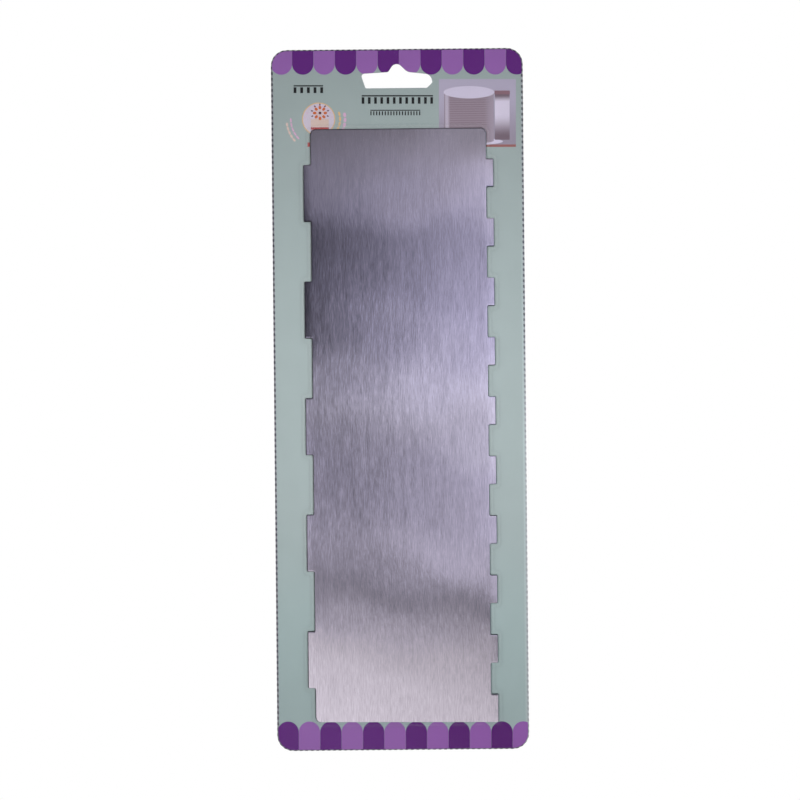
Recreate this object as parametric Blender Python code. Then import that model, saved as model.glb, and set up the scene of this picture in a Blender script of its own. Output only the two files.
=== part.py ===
"""Steel cake comb with square teeth, carded for a shop peg under a clear formed skin film.

Units are metres, +Z is up and the printed front faces -Y. The origin is the point that the peg bears on:
the crown of the card's slot, at half the card's thickness.
"""
import math

import bmesh
import bpy

# Comb: a flat steel blade with a row of square teeth along each long edge
COMB_LENGTH = 0.250
COMB_BLADE_WIDTH = 0.074
COMB_THICKNESS = 0.001
COMB_CORNER_RADIUS = 0.002
COMB_EDGE_BREAK = 0.00012
TOOTH_DEPTH = 0.003
TOOTH_CORNER_RADIUS = 0.0004
WIDE_TOOTH = 0.024
WIDE_GAP = 0.025
WIDE_ROW_START = 0.015
NARROW_TOOTH = 0.012
NARROW_GAP = 0.013

# Card: a stiff board that frames the comb, with a header for the slot
CARD_THICKNESS = 0.0006
CARD_CORNER_RADIUS = 0.0067
CARD_BESIDE_TEETH = 0.013
CARD_BELOW_COMB = 0.0115
CARD_BETWEEN_SLOT_AND_COMB = 0.0171
CARD_ABOVE_SLOT = 0.0063
COMB_RIGHT_OF_CENTRE = 0.0003

# Slot: two wings under a raised crown, which centres the card on its peg
SLOT_WIDTH = 0.030
SLOT_WING_HEIGHT = 0.0063
SLOT_CROWN_RISE = 0.0038
SLOT_CROWN_RADIUS = 0.0026
SLOT_CROWN_SLOPE = math.radians(42)
SLOT_SHOULDER_RADIUS = 0.006
SLOT_WING_TOP_RADIUS = 0.0034
SLOT_WING_BOTTOM_RADIUS = 0.0024

# Film: a clear sheet drawn down over the comb, cut to the card's outline
FILM_THICKNESS = 0.00015
FILM_WALL_SPREAD = 0.0020
FILM_WALL_RINGS = 5
FILM_INNER_CORNER_RADIUS = 0.0012

# Clearance between pieces that lie on each other
SEAT_GAP = 0.0003

# Facets of each rounded corner, and the most of a short side that the arcs at its two ends may take up
LARGE_ARC_STEPS = 8
SMALL_ARC_STEPS = 2
ARC_SHARE_OF_SIDE = 0.9

# Edges sharper than this stay crisp
SMOOTH_ANGLE = math.radians(25)

# Levels through the thickness, from the card towards the viewer
CARD_BACK = CARD_THICKNESS / 2
CARD_FRONT = CARD_BACK - CARD_THICKNESS
COMB_BACK = CARD_FRONT - SEAT_GAP
COMB_FRONT = COMB_BACK - COMB_THICKNESS
FILM_FLANGE = CARD_FRONT - SEAT_GAP
FILM_POCKET = COMB_FRONT - SEAT_GAP

# Heights, from the peg point at the slot's crown
CARD_TOP = CARD_ABOVE_SLOT
SLOT_WING_TOP = -SLOT_CROWN_RISE
SLOT_BOTTOM = SLOT_WING_TOP - SLOT_WING_HEIGHT
COMB_TOP = SLOT_BOTTOM - CARD_BETWEEN_SLOT_AND_COMB
COMB_BOTTOM = COMB_TOP - COMB_LENGTH
CARD_BOTTOM = COMB_BOTTOM - CARD_BELOW_COMB

CARD_HALF_WIDTH = COMB_BLADE_WIDTH / 2 + TOOTH_DEPTH + CARD_BESIDE_TEETH


def clear_scene():
    """Remove every object that the file opened with."""
    for existing in list(bpy.data.objects):
        bpy.data.objects.remove(existing, do_unlink=True)


def make_material(name, colour, roughness, metallic=0.0, alpha=1.0):
    """Return a Principled material with one colour and finish."""
    material = bpy.data.materials.new(name)
    material.use_nodes = True
    shader = material.node_tree.nodes["Principled BSDF"]
    shader.inputs["Base Color"].default_value = (*colour, 1.0)
    shader.inputs["Roughness"].default_value = roughness
    shader.inputs["Metallic"].default_value = metallic
    shader.inputs["Alpha"].default_value = alpha
    return material


def turn_at(before, corner, after):
    """Return the unit directions into and out of a corner, and the angle turned there."""
    in_x, in_z = corner[0] - before[0], corner[1] - before[1]
    out_x, out_z = after[0] - corner[0], after[1] - corner[1]
    turn = math.atan2(in_x * out_z - in_z * out_x, in_x * out_x + in_z * out_z)
    length = math.hypot(in_x, in_z)
    return in_x / length, in_z / length, turn


def rounded_outline(corners, steps):
    """Return the points of a closed outline with each corner (x, z, radius) rounded into an arc.

    Where two arcs would meet on a short side, both are reduced until a straight piece is left between them.
    """
    count = len(corners)
    turns = [turn_at(corners[i - 1], corners[i], corners[(i + 1) % count]) for i in range(count)]
    tangents = [corners[i][2] * abs(math.tan(turns[i][2] / 2)) for i in range(count)]
    shares = [1.0] * count
    for i in range(count):
        follower = (i + 1) % count
        room = ARC_SHARE_OF_SIDE * math.dist(corners[i][:2], corners[follower][:2])
        wanted = tangents[i] + tangents[follower]
        if wanted > room:
            shares[i] = min(shares[i], room / wanted)
            shares[follower] = min(shares[follower], room / wanted)
    points = []
    for (x, z, radius), (in_x, in_z, turn), tangent, share in zip(corners, turns, tangents, shares):
        reach = tangent * share
        arm = math.copysign(radius * share, turn)
        centre_x = x - in_x * reach - in_z * arm
        centre_z = z - in_z * reach + in_x * arm
        for step in range(steps + 1):
            angle = turn * step / steps
            points.append((
                centre_x + arm * (in_z * math.cos(angle) + in_x * math.sin(angle)),
                centre_z + arm * (in_z * math.sin(angle) - in_x * math.cos(angle)),
            ))
    return points


def card_outline():
    """Return the card's rounded rectangle, anticlockwise as the viewer sees it."""
    right, left = CARD_HALF_WIDTH, -CARD_HALF_WIDTH
    corners = [(right, CARD_BOTTOM), (right, CARD_TOP), (left, CARD_TOP), (left, CARD_BOTTOM)]
    return rounded_outline([(x, z, CARD_CORNER_RADIUS) for x, z in corners], LARGE_ARC_STEPS)


def slot_outline():
    """Return the peg slot: a wing to each side, and sloping sides up to the round crown.

    The sloping sides meet above the crown, at the height where an arc of its radius touches the origin.
    """
    end = SLOT_WIDTH / 2
    apex = SLOT_CROWN_RADIUS * (1 / math.sin(SLOT_CROWN_SLOPE) - 1)
    foot = (apex - SLOT_WING_TOP) * math.tan(SLOT_CROWN_SLOPE)
    corners = [
        (end, SLOT_BOTTOM, SLOT_WING_BOTTOM_RADIUS),
        (end, SLOT_WING_TOP, SLOT_WING_TOP_RADIUS),
        (foot, SLOT_WING_TOP, SLOT_SHOULDER_RADIUS),
        (0.0, apex, SLOT_CROWN_RADIUS),
        (-foot, SLOT_WING_TOP, SLOT_SHOULDER_RADIUS),
        (-end, SLOT_WING_TOP, SLOT_WING_TOP_RADIUS),
        (-end, SLOT_BOTTOM, SLOT_WING_BOTTOM_RADIUS),
    ]
    return rounded_outline(corners, LARGE_ARC_STEPS)


def tooth_row(start, tooth, gap):
    """Return the (low, high) heights of the teeth that fit, from start above the comb's lower end."""
    pitch = tooth + gap
    count = 1 + int((COMB_LENGTH - start - tooth - COMB_CORNER_RADIUS) / pitch)
    lows = [COMB_BOTTOM + start + i * pitch for i in range(count)]
    return [(low, low + tooth) for low in lows]


def comb_outline(grow, inner_radius):
    """Return the toothed outline, anticlockwise, with every side moved outwards by grow.

    The narrow row starts flush with the lower end, so its first tooth shares the comb's corner there.
    """
    left = COMB_RIGHT_OF_CENTRE - COMB_BLADE_WIDTH / 2 - grow
    right = COMB_RIGHT_OF_CENTRE + COMB_BLADE_WIDTH / 2 + grow
    tip_radius = TOOTH_CORNER_RADIUS + grow
    end_radius = COMB_CORNER_RADIUS + grow
    corners = []
    for low, high in tooth_row(0.0, NARROW_TOOTH, NARROW_GAP):
        if corners:
            corners.append((right, low - grow, inner_radius))
        corners.append((right + TOOTH_DEPTH, low - grow, tip_radius))
        corners.append((right + TOOTH_DEPTH, high + grow, tip_radius))
        corners.append((right, high + grow, inner_radius))
    corners.append((right, COMB_TOP + grow, end_radius))
    corners.append((left, COMB_TOP + grow, end_radius))
    for low, high in reversed(tooth_row(WIDE_ROW_START, WIDE_TOOTH, WIDE_GAP)):
        corners.append((left, high + grow, inner_radius))
        corners.append((left - TOOTH_DEPTH, high + grow, tip_radius))
        corners.append((left - TOOTH_DEPTH, low - grow, tip_radius))
        corners.append((left, low - grow, inner_radius))
    corners.append((left, COMB_BOTTOM - grow, end_radius))
    return rounded_outline(corners, SMALL_ARC_STEPS)


def add_ring(bm, outline, level):
    """Add an outline at one level through the thickness, and return its points and its edges."""
    verts = [bm.verts.new((x, level, z)) for x, z in outline]
    edges = [bm.edges.new((verts[i - 1], verts[i])) for i in range(len(verts))]
    return verts, edges


def fill_between(bm, rings):
    """Fill the flat region inside the first ring and outside the others."""
    edges = [edge for ring in rings for edge in ring[1]]
    bmesh.ops.triangle_fill(bm, use_beauty=True, edges=edges, normal=(0, -1, 0))


def loft(bm, rings):
    """Join each ring to the next with quads, and close the last one with a face."""
    for (outer, _), (inner, _) in zip(rings, rings[1:]):
        for i in range(len(outer)):
            bm.faces.new((outer[i - 1], outer[i], inner[i], inner[i - 1]))
    bm.faces.new(rings[-1][0])


def face_viewer(bm):
    """Turn an open sheet's faces so that they all look towards -Y."""
    bmesh.ops.recalc_face_normals(bm, faces=bm.faces)
    if sum(face.normal.y * face.calc_area() for face in bm.faces) > 0:
        bmesh.ops.reverse_faces(bm, faces=bm.faces)


def place(name, bm, origin, material, holder):
    """Turn a bmesh in world coordinates into an object with its origin at the given point."""
    bmesh.ops.translate(bm, verts=bm.verts, vec=[-value for value in origin])
    mesh = bpy.data.meshes.new(name)
    bm.to_mesh(mesh)
    bm.free()
    mesh.materials.append(material)
    mesh.shade_smooth()
    mesh.set_sharp_from_angle(angle=SMOOTH_ANGLE)
    made = bpy.data.objects.new(name, mesh)
    made.location = origin
    made.parent = holder
    bpy.context.collection.objects.link(made)
    return made


def thicken(sheet, thickness):
    """Give an open sheet its thickness, towards the viewer."""
    solid = sheet.modifiers.new("Thickness", "SOLIDIFY")
    solid.thickness = thickness
    solid.offset = 1.0
    solid.use_even_offset = True


def make_card(holder):
    """Model the board, with its peg slot punched through."""
    bm = bmesh.new()
    fill_between(bm, [add_ring(bm, card_outline(), CARD_BACK), add_ring(bm, slot_outline(), CARD_BACK)])
    face_viewer(bm)
    board = make_material("printed_board", (0.40, 0.46, 0.45), 0.5)
    card = place("backing_card", bm, (0.0, CARD_BACK, CARD_TOP), board, holder)
    thicken(card, CARD_THICKNESS)


def make_comb(holder):
    """Model the blade as a stack of toothed rings, with its sharp edges broken on both faces."""
    bm = bmesh.new()
    levels = [
        (-COMB_EDGE_BREAK, COMB_BACK),
        (0.0, COMB_BACK - COMB_EDGE_BREAK),
        (0.0, COMB_FRONT + COMB_EDGE_BREAK),
        (-COMB_EDGE_BREAK, COMB_FRONT),
    ]
    rings = [add_ring(bm, comb_outline(grow, TOOTH_CORNER_RADIUS - grow), level) for grow, level in levels]
    loft(bm, rings)
    bm.faces.new(rings[0][0])
    bmesh.ops.recalc_face_normals(bm, faces=bm.faces)
    centre = (COMB_RIGHT_OF_CENTRE, (COMB_FRONT + COMB_BACK) / 2, (COMB_TOP + COMB_BOTTOM) / 2)
    steel = make_material("brushed_steel", (0.55, 0.54, 0.60), 0.32, metallic=1.0)
    place("cake_comb", bm, centre, steel, holder)


def make_film(holder):
    """Model the skin film: a flange over the card, and a pocket whose wall hugs the teeth.

    Each ring of the wall lies closer to the comb and further from the card than the one before, so the
    wall is steep at the comb and flattens out on the card. The object's origin is on the line along the
    film's lower edge, about which it peels away.
    """
    bm = bmesh.new()
    wall = []
    for ring in range(FILM_WALL_RINGS):
        climb = ring / (FILM_WALL_RINGS - 1)
        grow = SEAT_GAP + FILM_WALL_SPREAD * (1 - climb)
        level = FILM_FLANGE + (FILM_POCKET - FILM_FLANGE) * climb ** 2
        wall.append(add_ring(bm, comb_outline(grow, FILM_INNER_CORNER_RADIUS), level))
    rim = add_ring(bm, card_outline(), FILM_FLANGE)
    slot = add_ring(bm, slot_outline(), FILM_FLANGE)
    fill_between(bm, [rim, slot, wall[0]])
    loft(bm, wall)
    face_viewer(bm)
    clear = make_material("clear_film", (0.9, 0.92, 0.94), 0.12, alpha=0.2)
    film = place("skin_film", bm, (0.0, FILM_FLANGE, CARD_BOTTOM), clear, holder)
    thicken(film, FILM_THICKNESS)


def main():
    """Build the carded comb, held by an empty at the peg point."""
    clear_scene()
    holder = bpy.data.objects.new("carded_comb", None)
    bpy.context.collection.objects.link(holder)
    make_card(holder)
    make_comb(holder)
    make_film(holder)


main()
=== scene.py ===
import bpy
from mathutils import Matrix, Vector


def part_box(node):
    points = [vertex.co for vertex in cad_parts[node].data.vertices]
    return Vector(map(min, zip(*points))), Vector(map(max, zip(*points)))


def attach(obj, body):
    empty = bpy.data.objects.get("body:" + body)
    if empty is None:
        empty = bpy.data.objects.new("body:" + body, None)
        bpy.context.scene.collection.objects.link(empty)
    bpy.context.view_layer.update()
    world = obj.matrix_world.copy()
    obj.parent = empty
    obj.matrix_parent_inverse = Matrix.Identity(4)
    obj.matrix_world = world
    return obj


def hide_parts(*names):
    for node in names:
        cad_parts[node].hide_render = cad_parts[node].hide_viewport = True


bl_info = {
    "name": "Carded Cake Comb",
    "version": (1, 0, 0),
    "blender": (4, 5, 0),
    "location": "View3D > Sidebar > Cake Comb",
    "description": "Dresses a flat steel cake comb on its printed card under clear film",
    "category": "Object",
}

import math

import bmesh
import bpy
from bpy.props import FloatProperty, FloatVectorProperty, PointerProperty
from mathutils import Vector
from mathutils.geometry import intersect_line_line

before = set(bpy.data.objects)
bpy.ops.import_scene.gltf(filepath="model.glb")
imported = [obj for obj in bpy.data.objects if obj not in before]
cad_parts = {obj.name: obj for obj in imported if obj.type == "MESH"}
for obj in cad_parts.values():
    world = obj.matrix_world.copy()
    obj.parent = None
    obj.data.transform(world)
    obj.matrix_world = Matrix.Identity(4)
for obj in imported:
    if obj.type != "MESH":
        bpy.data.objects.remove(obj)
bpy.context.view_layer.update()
CARD_LOW, CARD_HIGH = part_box("backing_card")
COMB_LOW, COMB_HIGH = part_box("cake_comb")
COMB_MIDDLE = (COMB_LOW.z + COMB_HIGH.z) / 2
FRONT, BACK = CARD_LOW.y, CARD_HIGH.y
MM = 0.001

# Points of a tree's mesh, or of a ringed solid, that are nearer than this are one
WELD = 1e-6
RING_WELD = 1e-7

# The peg slot as the punch cut it: corners in millimetres from its crown (x, z, radius), anticlockwise
SLOT_CORNERS = (
    (-13.25, -10.1, 0.8),
    (12.6, -10.1, 1.0),
    (15.0, -7.9, 1.5),
    (14.2, -4.35, 3.2),
    (4.4, -3.3, 4.0),
    (-0.53, 1.41, 2.5),
    (-3.65, -3.3, 1.3),
    (-15.3, -3.95, 1.2),
)

# Heights between which the painted shade on the torn ties and on the film's cut rim fades down the card's
# right side
RIM_SHADE_FADE = (-0.09, -0.17)


def tone(red, green, blue):
    """A printed colour, given as a printer would in 0 to 255, as the linear colour that nodes take."""

    def linear(level):
        part = level / 255
        return part / 12.92 if part <= 0.04045 else ((part + 0.055) / 1.055) ** 2.4

    return (linear(red), linear(green), linear(blue))


def length(name, description, default):
    return FloatProperty(name=name, description=description, default=default, unit="LENGTH", precision=5)


def angle(name, description, degrees):
    return FloatProperty(name=name, description=description, default=math.radians(degrees), subtype="ANGLE")


def power(name, description, default):
    return FloatProperty(name=name, description=description, default=default, min=0)


def share(name, description, default):
    return FloatProperty(name=name, description=description, default=default, subtype="FACTOR", min=0, max=1)


def colour(name, description, default):
    values = {"default": default, "subtype": "COLOR", "min": 0, "max": 1}
    return FloatVectorProperty(name=name, description=description, **values)


class CardSettings(bpy.types.PropertyGroup):
    """The board: its torn, perforated rim and its stock."""

    perforation_pitch: length("Perforation pitch", "One cut and one tie of the knife", 2.34 * MM)
    tie_share: share("Tie share", "How much of the pitch is a tie that was torn", 0.5)
    tie_height: length("Tie height", "How far a torn tie stands out of the rim", 0.12 * MM)
    rim_width: length("Rim width", "Width of the band that the knife crushed", 0.8 * MM)
    rim_drop: length("Rim drop", "How far the crushed band slopes down", 0.12 * MM)
    face: colour("Face", "Sage green printed on the board's face", tone(156, 169, 169))
    foot_face: colour("Face at the foot", "The print turns greener down to the foot", tone(156, 174, 174))
    # Painted highlight: a pale line inside the right rim where the film's seal catches the light
    seal: colour("Seal line", "Pale line where the film is sealed inside the right rim", tone(170, 184, 185))
    back: colour("Back", "Plain grey back of the board", tone(168, 164, 156))
    crushed: colour("Crushed rim", "Board laid bare by the knife", tone(146, 146, 154))
    # Painted light: the crushed rim is painted pale down the card's right side, where the light comes from
    pale: colour("Pale rim", "Crushed rim where the film stands off it", tone(184, 192, 196))
    # Painted shade: the torn ties are painted dark for the shade in the perforation's nicks
    tie: colour("Torn tie", "Dark of a torn tie", tone(50, 44, 64))


class PrintSettings(bpy.types.PropertyGroup):
    """Inks and sizes of what is printed on the card."""

    ink_height: length("Ink height", "How thick each layer of ink is", 0.03 * MM)
    turn: angle("Print turn", "How far the print sits askew on the card", -0.5)
    scallop_pitch: length("Scallop pitch", "Width of one awning scallop with its gap", 9.0 * MM)
    scallop_gap: length("Scallop gap", "Gap between two scallops", 0.05 * MM)
    rim_margin: length("Rim margin", "Crushed rim that the ink leaves bare", 0.45 * MM)
    upper_drop: length("Upper scallops", "How far the upper scallops hang down the card", 10.75 * MM)
    lower_drop: length("Lower scallops", "How far the lower scallops stand up the card", 12.0 * MM)
    dark_purple: colour("Dark purple", "Darker awning scallops", tone(93, 31, 120))
    light_purple: colour("Light purple", "Lighter awning scallops", tone(147, 98, 171))
    deep_dark: colour("Deep dark purple", "Darker scallops where the ink is heavier", tone(80, 8, 104))
    deep_light: colour("Deep light purple", "Lighter scallops where the ink is heavier", tone(143, 88, 167))
    black: colour("Black", "Ink of the tooth profiles", tone(22, 22, 24))
    disc_radius: length("Roundel radius", "Radius of the roundel left of the comb's top", 7.0 * MM)


class SteelSettings(bpy.types.PropertyGroup):
    """The comb's brushed finish and its deburred edge."""

    base: colour("Steel", "Colour of the brushed face", tone(203, 200, 206))
    # Painted light and shade on the deburred edge: darker on the wide teeth's side, lighter on the narrow
    # teeth's side, darkest on the sides that face the comb's middle
    left_edge_shade: colour("Left edge", "Deburred edge on the wide teeth's side", tone(58, 54, 62))
    right_edge_lit: colour("Right edge", "Deburred edge on the narrow teeth's side", tone(92, 104, 110))
    inner_edge_shade: colour("Inner edge", "Sides of the teeth that face the comb's middle", tone(26, 24, 30))
    roughness: share("Roughness", "Roughness of the brushed face", 0.09)
    streak_depth: share("Streak depth", "How much the brushing lines vary in tone", 0.70)
    streak_height: length("Streak height", "Height of the brushing lines", 0.022 * MM)
    bow: share("Bow", "Slope of the slightly bowed sheet at its long edges", 0.03)
    waviness: length("Waviness", "Height of the sheet's shallow waves", 0.4 * MM)
    tooth_roll: length("Tooth roll", "How far in from the tips the teeth bend back a little", 4.0 * MM)
    tooth_fall: power("Tooth fall", "How fast they bend back, in height per square metre", 9.0)
    edge_width: length("Edge width", "Width of the deburred edge", 0.26 * MM)
    edge_fall: length("Edge fall", "How far the deburred edge falls away", 0.14 * MM)
    foot_slant: share("Foot slant", "How far askew the blank's foot is cut, higher at the left", 0.0085)
    lean: share("Edge lean", "How much wider that edge is on the sides that face the comb's middle", 0.0016)
    roll_width: length("Roll width", "Width of the face's soft roll beside that edge", 0.4 * MM)
    roll_fall: length("Roll fall", "How far that roll falls", 0.01 * MM)


class FilmSettings(bpy.types.PropertyGroup):
    """The clear film: how much light it reflects, and the grey of its cut edge, which is painted shade."""

    veil: share("Veil", "Share of light that the flat film reflects", 0.006)
    grazing: share("Grazing", "Share that it reflects more at a glancing angle", 0.45)
    wall: share("Wall", "Share that its stretched wall round the comb reflects more", 0.01)
    # Painted shade: the cut rim's grey stands for shade, strong at the head and left and faint at the foot
    # and lower right
    edge: share("Edge", "Share that its cut rim takes at the head and left", 0.18)
    faint_edge_shade: share("Faint edge", "Share that its cut rim takes at the foot and lower right", 0.05)
    foot: share("Foot", "Share that the foot of its wall takes", 0.04)
    tint: colour("Tint", "Colour of the flat film", tone(249, 251, 252))
    rim_shade_and_foot_grey: colour("Edge tint", "Grey of its cut rim and of the foot of its wall", tone(112, 114, 124))
    rim_width: length("Rim width", "Width of the rim that the knife crushed", 0.5 * MM)
    corner_radius: length("Corner radius", "Radius of the corners it is cut to", 6.7 * MM)


class StageSettings(bpy.types.PropertyGroup):
    """Camera, lamps, floor and the wall that the steel reflects."""

    lens: FloatProperty(name="Lens", description="Focal length in millimetres", default=100, min=20, max=300)
    distance: length("Distance", "From the camera to the card", 0.9353)
    aim: length("Aim", "How far above the card's middle the camera looks", -0.2 * MM)
    roll: angle("Roll", "How far the camera leans to its right", 0.555)
    floor_height: length("Floor height", "Height of the floor, below the opened film", -0.64)
    key_power: power("Key lamp", "Power in watts", 31.0)
    fill_power: power("Fill lamp", "Power in watts", 20.0)
    back_power: power("Back lamp", "Power in watts", 46.0)
    ambient: power("Ambient", "Strength of the sky on plain surfaces", 0.30)
    wall_power: power("Wall", "Brightness of the reflected wall", 1.4)


def opaque(value):
    """A colour with an alpha of one. What a node puts out is left as it is."""
    return value if isinstance(value, bpy.types.NodeSocket) else (*value[:3], 1)


class NodeDesk:
    """Adds nodes to one tree, joins them and sets them out from left to right."""

    spacing = 190

    def __init__(self, tree):
        self.tree = tree
        self.column = 0

    def add(self, kind, values=None, **settings):
        """A new node. values gives its inputs, by name or number, a value or another node's output."""
        node = self.tree.nodes.new(kind)
        for name, value in settings.items():
            setattr(node, name, value)
        self.feed(node, values or {})
        node.location = (self.column * self.spacing, 0)
        self.column += 1
        return node

    def feed(self, node, values):
        """Sets a node's inputs, or joins them to what they are given."""
        for label, value in values.items():
            if isinstance(value, bpy.types.NodeSocket):
                self.tree.links.new(value, node.inputs[label])
            else:
                node.inputs[label].default_value = value

    def out(self, kind, values=None, socket=0, **settings):
        """One output of a new node."""
        return self.add(kind, values, **settings).outputs[socket]

    def math(self, operation, *values):
        return self.out("ShaderNodeMath", dict(enumerate(values)), operation=operation)

    def plus(self, first, *others):
        for other in others:
            first = self.math("ADD", first, other)
        return first

    def minus(self, first, other):
        return self.math("SUBTRACT", first, other)

    def times(self, first, *others):
        for other in others:
            first = self.math("MULTIPLY", first, other)
        return first

    def over(self, first, other):
        return self.math("DIVIDE", first, other)

    def times_plus(self, first, factor, more):
        return self.math("MULTIPLY_ADD", first, factor, more)

    def from_to(self, factor, first, last):
        """first where factor is 0, last where it is 1."""
        return self.times_plus(factor, last - first, first)

    def combined(self, **axes):
        return self.out("ShaderNodeCombineXYZ", axes)

    def vector(self, operation, *values):
        socket = "Value" if operation == "LENGTH" else "Vector"
        return self.out("ShaderNodeVectorMath", dict(enumerate(values)), socket, operation=operation)

    def scaled(self, value, factor):
        """A vector, or all of a colour's channels, times a number."""
        return self.out("ShaderNodeVectorMath", {0: value, "Scale": factor}, operation="SCALE")

    def rise(self, value, low, high):
        """0 at low, 1 at high, smooth between."""
        ends = {"Value": value, "From Min": low, "From Max": high}
        return self.out("ShaderNodeMapRange", ends, interpolation_type="SMOOTHSTEP")

    def window(self, value, low, high, soft):
        """1 from low to high, and smooth to 0 within soft of them."""
        return self.times(self.rise(value, low - soft, low), self.rise(value, high + soft, high))


class FinishDesk(NodeDesk):
    """A desk for shaders: colours, places on the piece and noise."""

    def place(self):
        return self.out("ShaderNodeTexCoord", socket="Object")

    def axis(self, name):
        return self.out("ShaderNodeSeparateXYZ", {0: self.place()}, name)

    def blend(self, factor, first, second, **settings):
        """first where factor is 0, second where it is 1."""
        values = {0: factor, 6: opaque(first), 7: opaque(second)}
        return self.out("ShaderNodeMix", values, 2, data_type="RGBA", **settings)

    def toned(self, base, value):
        """A colour made lighter or darker by a factor."""
        return self.out("ShaderNodeHueSaturation", {"Value": value, "Color": opaque(base)})

    def noise(self, place, scale, detail, roughness=0.5):
        """Noise about zero."""
        values = {"Vector": place, "Scale": scale, "Detail": detail, "Roughness": roughness}
        return self.minus(self.out("ShaderNodeTexNoise", values, "Fac"), 0.5)

    def relief(self, height, distance=1.0, strength=1.0):
        """The normal of a surface with that height."""
        values = {"Strength": strength, "Distance": distance, "Height": height}
        return self.out("ShaderNodeBump", values)

    def seen(self):
        """1 for the rays that show the background: from the camera, off gloss and through clear things."""
        path = self.add("ShaderNodeLightPath").outputs
        bounced = self.math("MAXIMUM", path["Is Glossy Ray"], path["Is Transmission Ray"])
        return self.math("MAXIMUM", path["Is Camera Ray"], bounced)


class ShapeDesk(NodeDesk):
    """A desk for geometry: work is laid out flat in X and Y, and stood up in the card's plane at the end."""

    def __init__(self, name, **inputs):
        """Each kind of input is given with its labels."""
        super().__init__(bpy.data.node_groups.new(name, "GeometryNodeTree"))
        self.tree.is_modifier = True
        for way in ("INPUT", "OUTPUT"):
            self.tree.interface.new_socket("Geometry", in_out=way, socket_type="NodeSocketGeometry")
        for kind, labels in inputs.items():
            for label in labels:
                self.tree.interface.new_socket(label, in_out="INPUT", socket_type="NodeSocket" + kind)
        self.given = self.add("NodeGroupInput").outputs

    def curve(self, label):
        """The curve of the object given under that label."""
        thing = {"Object": self.given[label]}
        return self.out("GeometryNodeObjectInfo", thing, "Geometry", transform_space="ORIGINAL")

    def index(self):
        return self.out("GeometryNodeInputIndex")

    def direction(self, turn):
        return self.combined(X=self.math("COSINE", turn), Y=self.math("SINE", turn))

    def joined(self, *parts):
        both = self.add("GeometryNodeJoinGeometry")
        for part in parts:
            self.tree.links.new(part, both.inputs[0])
        return both.outputs[0]

    def moved(self, geometry, offset):
        return self.out("GeometryNodeSetPosition", {"Geometry": geometry, "Offset": offset})

    def set_down(self, geometry, place, turn=(0, 0, 0)):
        """Geometry turned about the origin, then moved to place."""
        values = {"Geometry": geometry, "Translation": place, "Rotation": turn}
        return self.out("GeometryNodeTransform", values)

    def painted(self, mesh, material, where=True):
        values = {"Geometry": mesh, "Material": material, "Selection": where}
        return self.out("GeometryNodeSetMaterial", values)

    def filled(self, *curves):
        return self.out("GeometryNodeFillCurve", {"Curve": self.joined(*curves)}, mode="TRIANGLES")

    def flipped(self, mesh):
        return self.out("GeometryNodeFlipFaces", {"Mesh": mesh})

    def welded(self, mesh):
        return self.out("GeometryNodeMergeByDistance", {"Geometry": mesh, "Distance": WELD})

    def thick(self, flat, height):
        """Gives a flat fill a thickness and closes it."""
        values = {"Mesh": flat, "Offset Scale": height, "Individual": False}
        raised = self.out("GeometryNodeExtrudeMesh", values, "Mesh")
        return self.welded(self.joined(self.flipped(flat), raised))

    def rectangle(self, width, height):
        values = {"Size X": width, "Size Y": height, "Vertices X": 2, "Vertices Y": 2}
        return self.thick(self.out("GeometryNodeMeshGrid", values), self.given["Ink height"])

    def round_ended(self, width, height, radius, steps):
        """A rectangle of ink whose corners have that radius."""
        sides = {"Width": width, "Height": height}
        outline = self.out("GeometryNodeCurvePrimitiveQuadrilateral", sides, mode="RECTANGLE")
        corners = {"Curve": outline, "Count": steps, "Radius": radius, "Limit Radius": True}
        fillet = self.out("GeometryNodeFilletCurve", corners, mode="POLY")
        return self.thick(self.filled(fillet), self.given["Ink height"])

    def row(self, count, start, step):
        """Points in a straight row."""
        values = {"Count": count, "Start Location": start, "Offset": step}
        return self.out("GeometryNodeMeshLine", values, mode="OFFSET")

    def copies(self, points, thing, turn=(0, 0, 0)):
        values = {"Points": points, "Instance": thing, "Rotation": turn}
        return self.out("GeometryNodeInstanceOnPoints", values)

    def realized(self, geometry):
        return self.out("GeometryNodeRealizeInstances", {"Geometry": geometry})

    def sampled(self, ring, index):
        """Where a ring's points are, by their index."""
        points = self.out("GeometryNodeCurveToPoints", {"Curve": ring}, mode="EVALUATED")
        values = {"Geometry": points, "Index": index}
        sample = self.add("GeometryNodeSampleIndex", values, data_type="FLOAT_VECTOR", domain="POINT")
        value = next(s for s in sample.inputs if s.name == "Value" and s.enabled)
        self.tree.links.new(self.out("GeometryNodeInputPosition"), value)
        return next(s for s in sample.outputs if s.enabled)

    def band(self, upper, lower, count):
        """Quads between two rings of that many points: a grid whose two rows lie on the rings."""
        values = {"Size X": 1.0, "Size Y": 1.0, "Vertices X": self.plus(count, 1.0), "Vertices Y": 2}
        grid = self.out("GeometryNodeMeshGrid", values)
        index = self.index()
        along = self.math("FLOORED_MODULO", self.math("FLOOR", self.over(index, 2.0)), count)
        row = self.math("FLOORED_MODULO", index, 2.0)
        ends = {0: row, 4: self.sampled(upper, along), 5: self.sampled(lower, along)}
        place = self.out("ShaderNodeMix", ends, 1, data_type="VECTOR")
        return self.out("GeometryNodeSetPosition", {"Geometry": grid, "Position": place})

    def end(self, flat, material=None):
        """Stands the work up, so that its height is its height off Base, and ends the tree in Realize
        Instances and, unless its faces have theirs already, Set Material."""
        last = self.realized(self.set_down(flat, self.given["Base"], (math.pi / 2, 0, 0)))
        if material is not None:
            last = self.painted(last, material)
        self.add("NodeGroupOutput", {"Geometry": last})
        return self.tree


def place_object(name, data):
    """A new object in the scene."""
    thing = bpy.data.objects.new(name, data)
    bpy.context.scene.collection.objects.link(thing)
    return thing


def finished_mesh(name, shape, materials=()):
    """A mesh from a bmesh, which is freed, with those finishes."""
    mesh = bpy.data.meshes.new(name)
    shape.to_mesh(mesh)
    shape.free()
    for material in materials:
        mesh.materials.append(material)
    return mesh


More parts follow.
